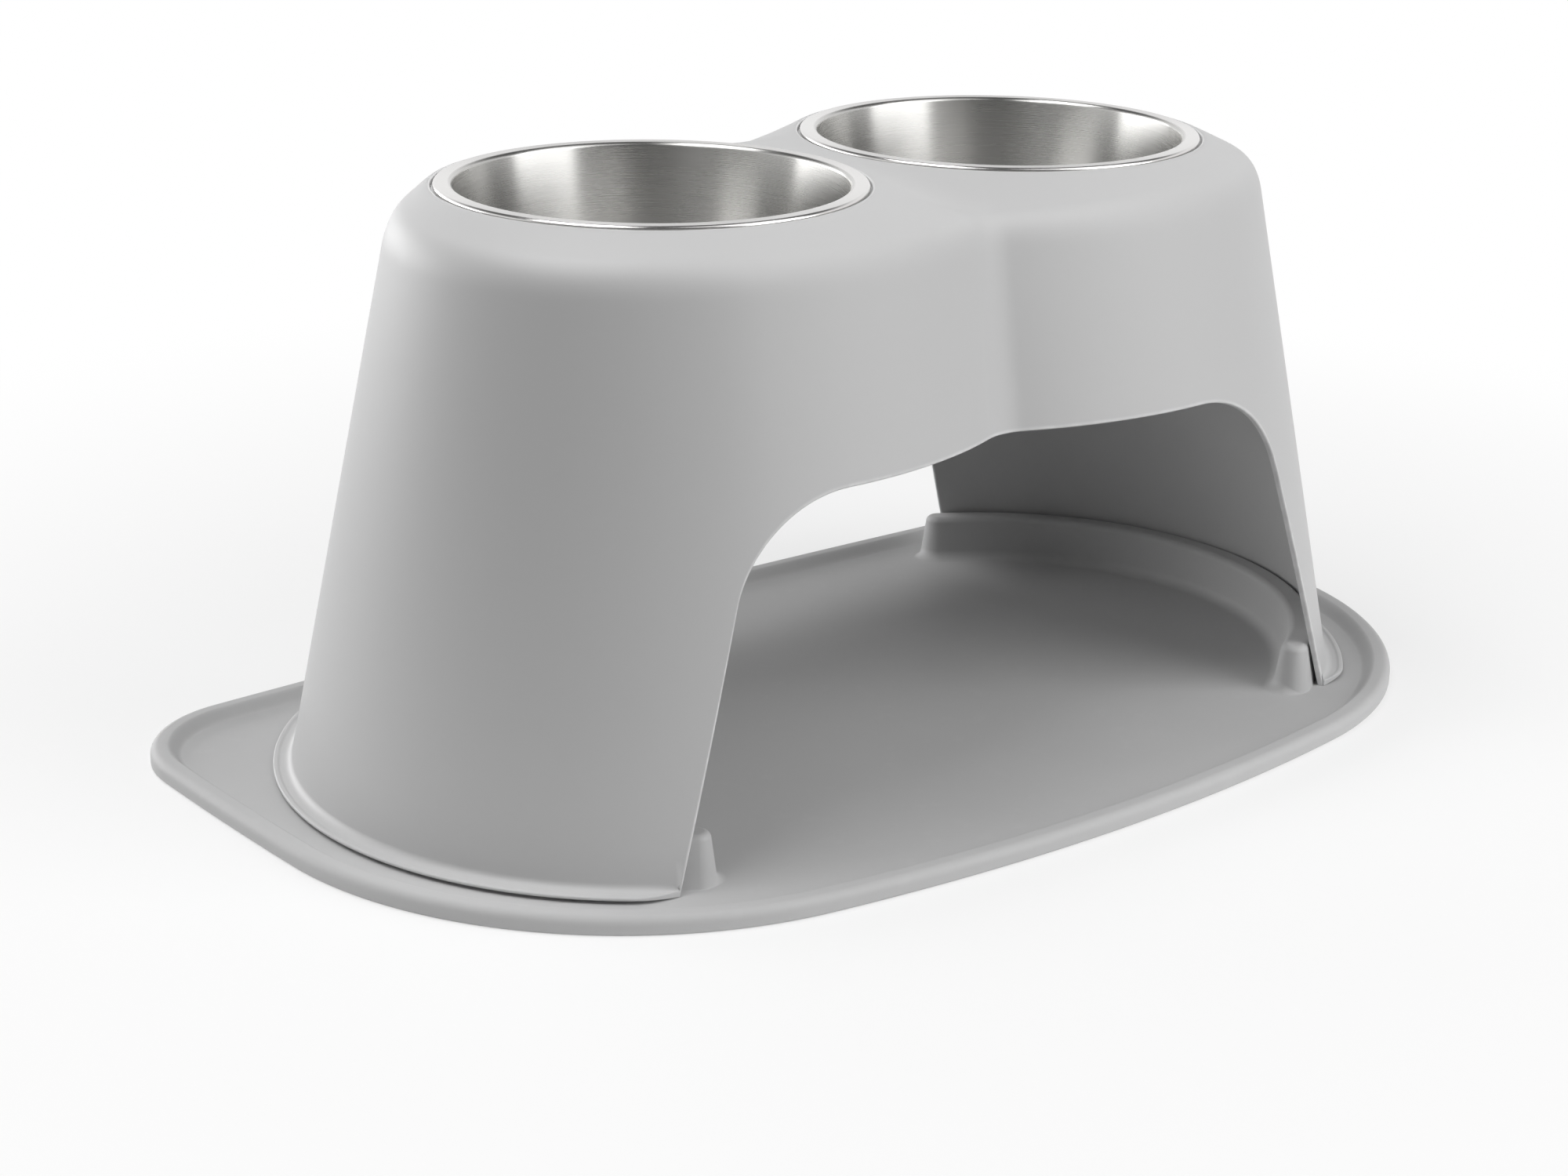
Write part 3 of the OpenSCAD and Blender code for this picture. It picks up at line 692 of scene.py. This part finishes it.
band += arc((rim_r - 0.0015, rim_top_z - 0.0015), 0.0015, 90, -90, 14)
under = [Vector((rim_r - 0.0018, rim_top_z - 0.003 + steel / 2)), Vector((rim_r - 0.0019, rim_top_z - steel))]
under += arc((lip_x, rim_top_z - lip_r), lip_r - steel, 90, 180 - bowl_lean, 6)
under += arc((turn_x, bowl_floor + bowl_turn), bowl_turn + steel, 360 - bowl_lean, 270, 16)
under += [Vector((r, bowl_floor - steel)) for r in (0.042, 0.026, 0.012)]
bowl_steps = 192


def brushed_steel(name, middle):
    """Steel brushed round the bowl's middle, with a finer polish on its rim."""
    sheet = Finish(bpy.data.materials.new(name))
    spot = sheet.put("ShaderNodeTexCoord", {}, {}, "Object")
    off = sheet.put("ShaderNodeVectorMath", {"operation": "SUBTRACT"}, {0: spot, 1: (middle.x, middle.y, 0)})
    split = sheet.put("ShaderNodeSeparateXYZ", {}, {0: off}).socket.node
    x, y, z = (Wire(sheet, split.outputs[i]) for i in range(3))
    r = (x * x + y * y) ** 0.5
    turns = {"X": x / r, "Y": y / r}
    fine = sheet.put("ShaderNodeCombineXYZ", {}, {**turns, "Z": (r + z) * 3000})
    coarse = sheet.put("ShaderNodeCombineXYZ", {}, {**turns, "Z": (r + z) * 900})
    fine, coarse, smudge = sheet.noise(fine, 0.8, 3), sheet.noise(coarse, 0.6, 3), sheet.noise(spot, 30, 3)
    rim = sheet.band(r, 0.0932, 0.0943)
    tone = sheet.blend(fine * 0.5 + coarse * 0.5, (0.52, 0.515, 0.505, 1), (0.6, 0.595, 0.58, 1))
    tone = sheet.blend(rim, tone, (0.72, 0.71, 0.7, 1))
    brushed = 0.22 + fine * 0.06 + smudge * 0.05
    polish = 0.2 + smudge * 0.08
    sheet.surface(
        {
            "Base Color": tone,
            "Metallic": 1,
            "Roughness": brushed + (polish - brushed) * rim,
            "Anisotropic": 0.8,
            "Anisotropic Rotation": 0.25,
        },
        (fine * 0.0007 + coarse * 0.0014) * (1 - rim * 0.6),
    )
    return sheet.owner


for name, side_sign in (("bowl_left", -1), ("bowl_right", 1)):
    middle = Vector((side_sign * bowl_centre.x, bowl_centre.y))

    def bowl_ring(r, z):
        turns = [math.tau * i / bowl_steps for i in range(bowl_steps)]
        return [(middle.x + r * math.cos(a), middle.y + r * math.sin(a), z) for a in turns]

    bowl = first_ring(name + "_steel", bowl_ring(*inside[0]))
    draw_out(bowl, *[bowl_ring(r, z) for r, z in inside[1:] + band + under])
    for z in (bowl_floor, bowl_floor - steel):
        pick(bowl, at_height(z))
        bpy.ops.mesh.edge_face_add()
    bpy.ops.mesh.select_all(action="SELECT")
    bpy.ops.mesh.normals_make_consistent(inside=False)
    bpy.ops.object.mode_set(mode="OBJECT")
    settle(bowl, 40)
    bowl.data.materials.append(brushed_steel(name + "_steel", middle))
    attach(bowl, name)
    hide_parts(name)
